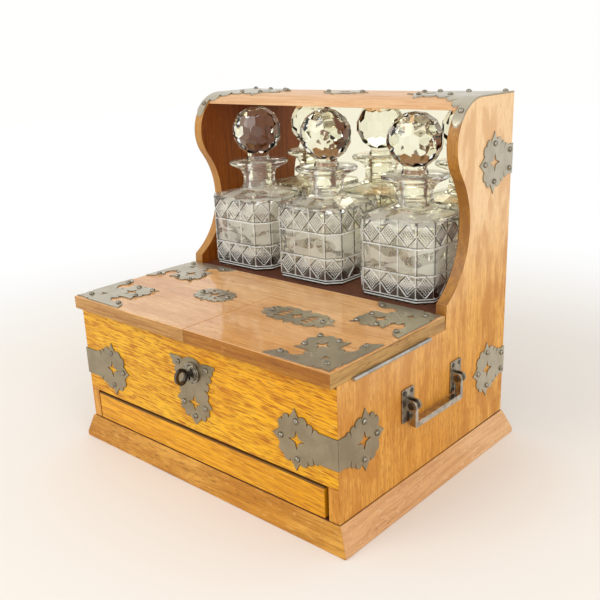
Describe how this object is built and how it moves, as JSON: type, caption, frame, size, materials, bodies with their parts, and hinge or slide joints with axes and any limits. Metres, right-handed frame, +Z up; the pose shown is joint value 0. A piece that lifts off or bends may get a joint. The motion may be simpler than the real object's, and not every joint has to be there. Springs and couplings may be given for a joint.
{
  "type": "tantalus",
  "caption": "Oak tantalus with hinged lids over compartments, a base drawer, pierced metal mounts, a lock with key, and a canopied mirror-backed stand of cut-glass decanters.",
  "frame": {"origin": "on the table under the middle of the case, plinth mouldings left out of account", "axes": "+X to the right along the front, +Y to the back, +Z up"},
  "size_m": [0.3626, 0.2997, 0.353],
  "materials": {
    "oak_front": "satin",
    "oak_side": "satin",
    "oak_lid": "polished",
    "oak_canopy": "satin",
    "oak_plinth": "worn satin",
    "oak_inner": "matt",
    "pewter": "satin",
    "bright_steel": "polished",
    "dark_steel": "worn",
    "brass": "satin",
    "crystal": "clear",
    "mirror": "silvered"
  },
  "bodies": {
    "case": {"left_side": "oak_side", "right_side": "oak_side", "front_panel": "oak_front", "back_panel": "oak_inner", "canopy": "oak_canopy", "mirror": "mirror", "decanter_floor": "oak_inner", "rear_partition": "oak_inner", "compartment_floor": "oak_inner", "centre_divider": "oak_inner", "base_board": "oak_inner", "drawer_runners": "oak_inner", "plinth_front": "oak_plinth", "plinth_left": "oak_plinth", "plinth_right": "oak_plinth", "plinth_back": "oak_plinth", "escutcheon": "pewter", "keyhole_boss": "pewter", "lock_case": "brass", "front_strap_left": "pewter", "front_strap_right": "pewter", "rear_straps_left": "pewter", "rear_straps_right": "pewter", "canopy_mount_left": "pewter", "canopy_mount_centre": "pewter", "canopy_mount_right": "pewter", "hinge_leaf_case_left": "bright_steel", "hinge_leaf_case_right": "bright_steel", "hinge_pins": "bright_steel", "handle_plates": "dark_steel", "handle_pivot_pins": "dark_steel", "case_pins": "bright_steel", "case_screws": "dark_steel"},
    "lid_left_body": {"lid_left": "oak_lid", "lid_mounts_left": "pewter", "badge_left": "pewter", "hinge_leaf_lid_left": "bright_steel", "staple_left": "brass", "lid_pins_left": "bright_steel"},
    "lid_right_body": {"lid_right": "oak_lid", "lid_mounts_right": "pewter", "badge_right": "pewter", "hinge_leaf_lid_right": "bright_steel", "staple_right": "brass", "lid_pins_right": "bright_steel"},
    "drawer_body": {"drawer_front": "oak_front", "drawer_sides": "oak_inner", "drawer_back": "oak_inner", "drawer_bottom": "oak_inner"},
    "key_body": {"key": "dark_steel"},
    "lock_bolt_body": {"lock_bolt": "brass"},
    "bail_left_body": {"bail_left": "dark_steel"},
    "bail_right_body": {"bail_right": "dark_steel"},
    "decanter_left_body": {"decanter_left": "crystal"},
    "decanter_middle_body": {"decanter_middle": "crystal"},
    "decanter_right_body": {"decanter_right": "crystal"},
    "stopper_left_body": {"stopper_left": "crystal"},
    "stopper_middle_body": {"stopper_middle": "crystal"},
    "stopper_right_body": {"stopper_right": "crystal"}
  },
  "joints": [
    {"name": "lid_left_hinge", "type": "hinge", "parent": "case", "child": "lid_left_body", "pos_m": [-0.1719, 0, 0.1489], "axis": [0, -1, 0], "range_deg": [0, 180]},
    {"name": "lid_right_hinge", "type": "hinge", "parent": "case", "child": "lid_right_body", "pos_m": [0.1719, 0, 0.1489], "axis": [0, 1, 0], "range_deg": [0, 180]},
    {"name": "drawer_slide", "type": "slide", "parent": "case", "child": "drawer_body", "axis": [0, -1, 0], "range_m": [0, 0.19]},
    {"name": "key_turn", "type": "hinge", "parent": "case", "child": "key_body", "pos_m": [0, -0.135, 0.118], "axis": [0, 1, 0], "range_deg": [0, 180]},
    {"name": "bolt_slide", "type": "slide", "parent": "case", "child": "lock_bolt_body", "axis": [1, 0, 0], "range_m": [0, 0.006]},
    {"name": "bail_left_swing", "type": "hinge", "parent": "case", "child": "bail_left_body", "pos_m": [-0.1763, 0, 0.0985], "axis": [0, 1, 0], "range_deg": [0, 180]},
    {"name": "bail_right_swing", "type": "hinge", "parent": "case", "child": "bail_right_body", "pos_m": [0.1763, 0, 0.0985], "axis": [0, -1, 0], "range_deg": [0, 180]},
    {"name": "decanter_left_slide", "type": "slide", "parent": "case", "child": "decanter_left_body", "axis": [0, -1, 0], "range_m": [0, 0.0114]},
    {"name": "stopper_left_lift", "type": "slide", "parent": "decanter_left_body", "child": "stopper_left_body", "axis": [0, 0, 1], "range_m": [0, 0.003]},
    {"name": "decanter_middle_slide", "type": "slide", "parent": "case", "child": "decanter_middle_body", "axis": [0, -1, 0], "range_m": [0, 0.0114]},
    {"name": "stopper_middle_lift", "type": "slide", "parent": "decanter_middle_body", "child": "stopper_middle_body", "axis": [0, 0, 1], "range_m": [0, 0.003]},
    {"name": "decanter_right_slide", "type": "slide", "parent": "case", "child": "decanter_right_body", "axis": [0, -1, 0], "range_m": [0, 0.0114]},
    {"name": "stopper_right_lift", "type": "slide", "parent": "decanter_right_body", "child": "stopper_right_body", "axis": [0, 0, 1], "range_m": [0, 0.003]}
  ],
  "couplings": [
    {"joint": "key_turn", "follows": "bolt_slide", "rad_per_m": 523.59}
  ]
}
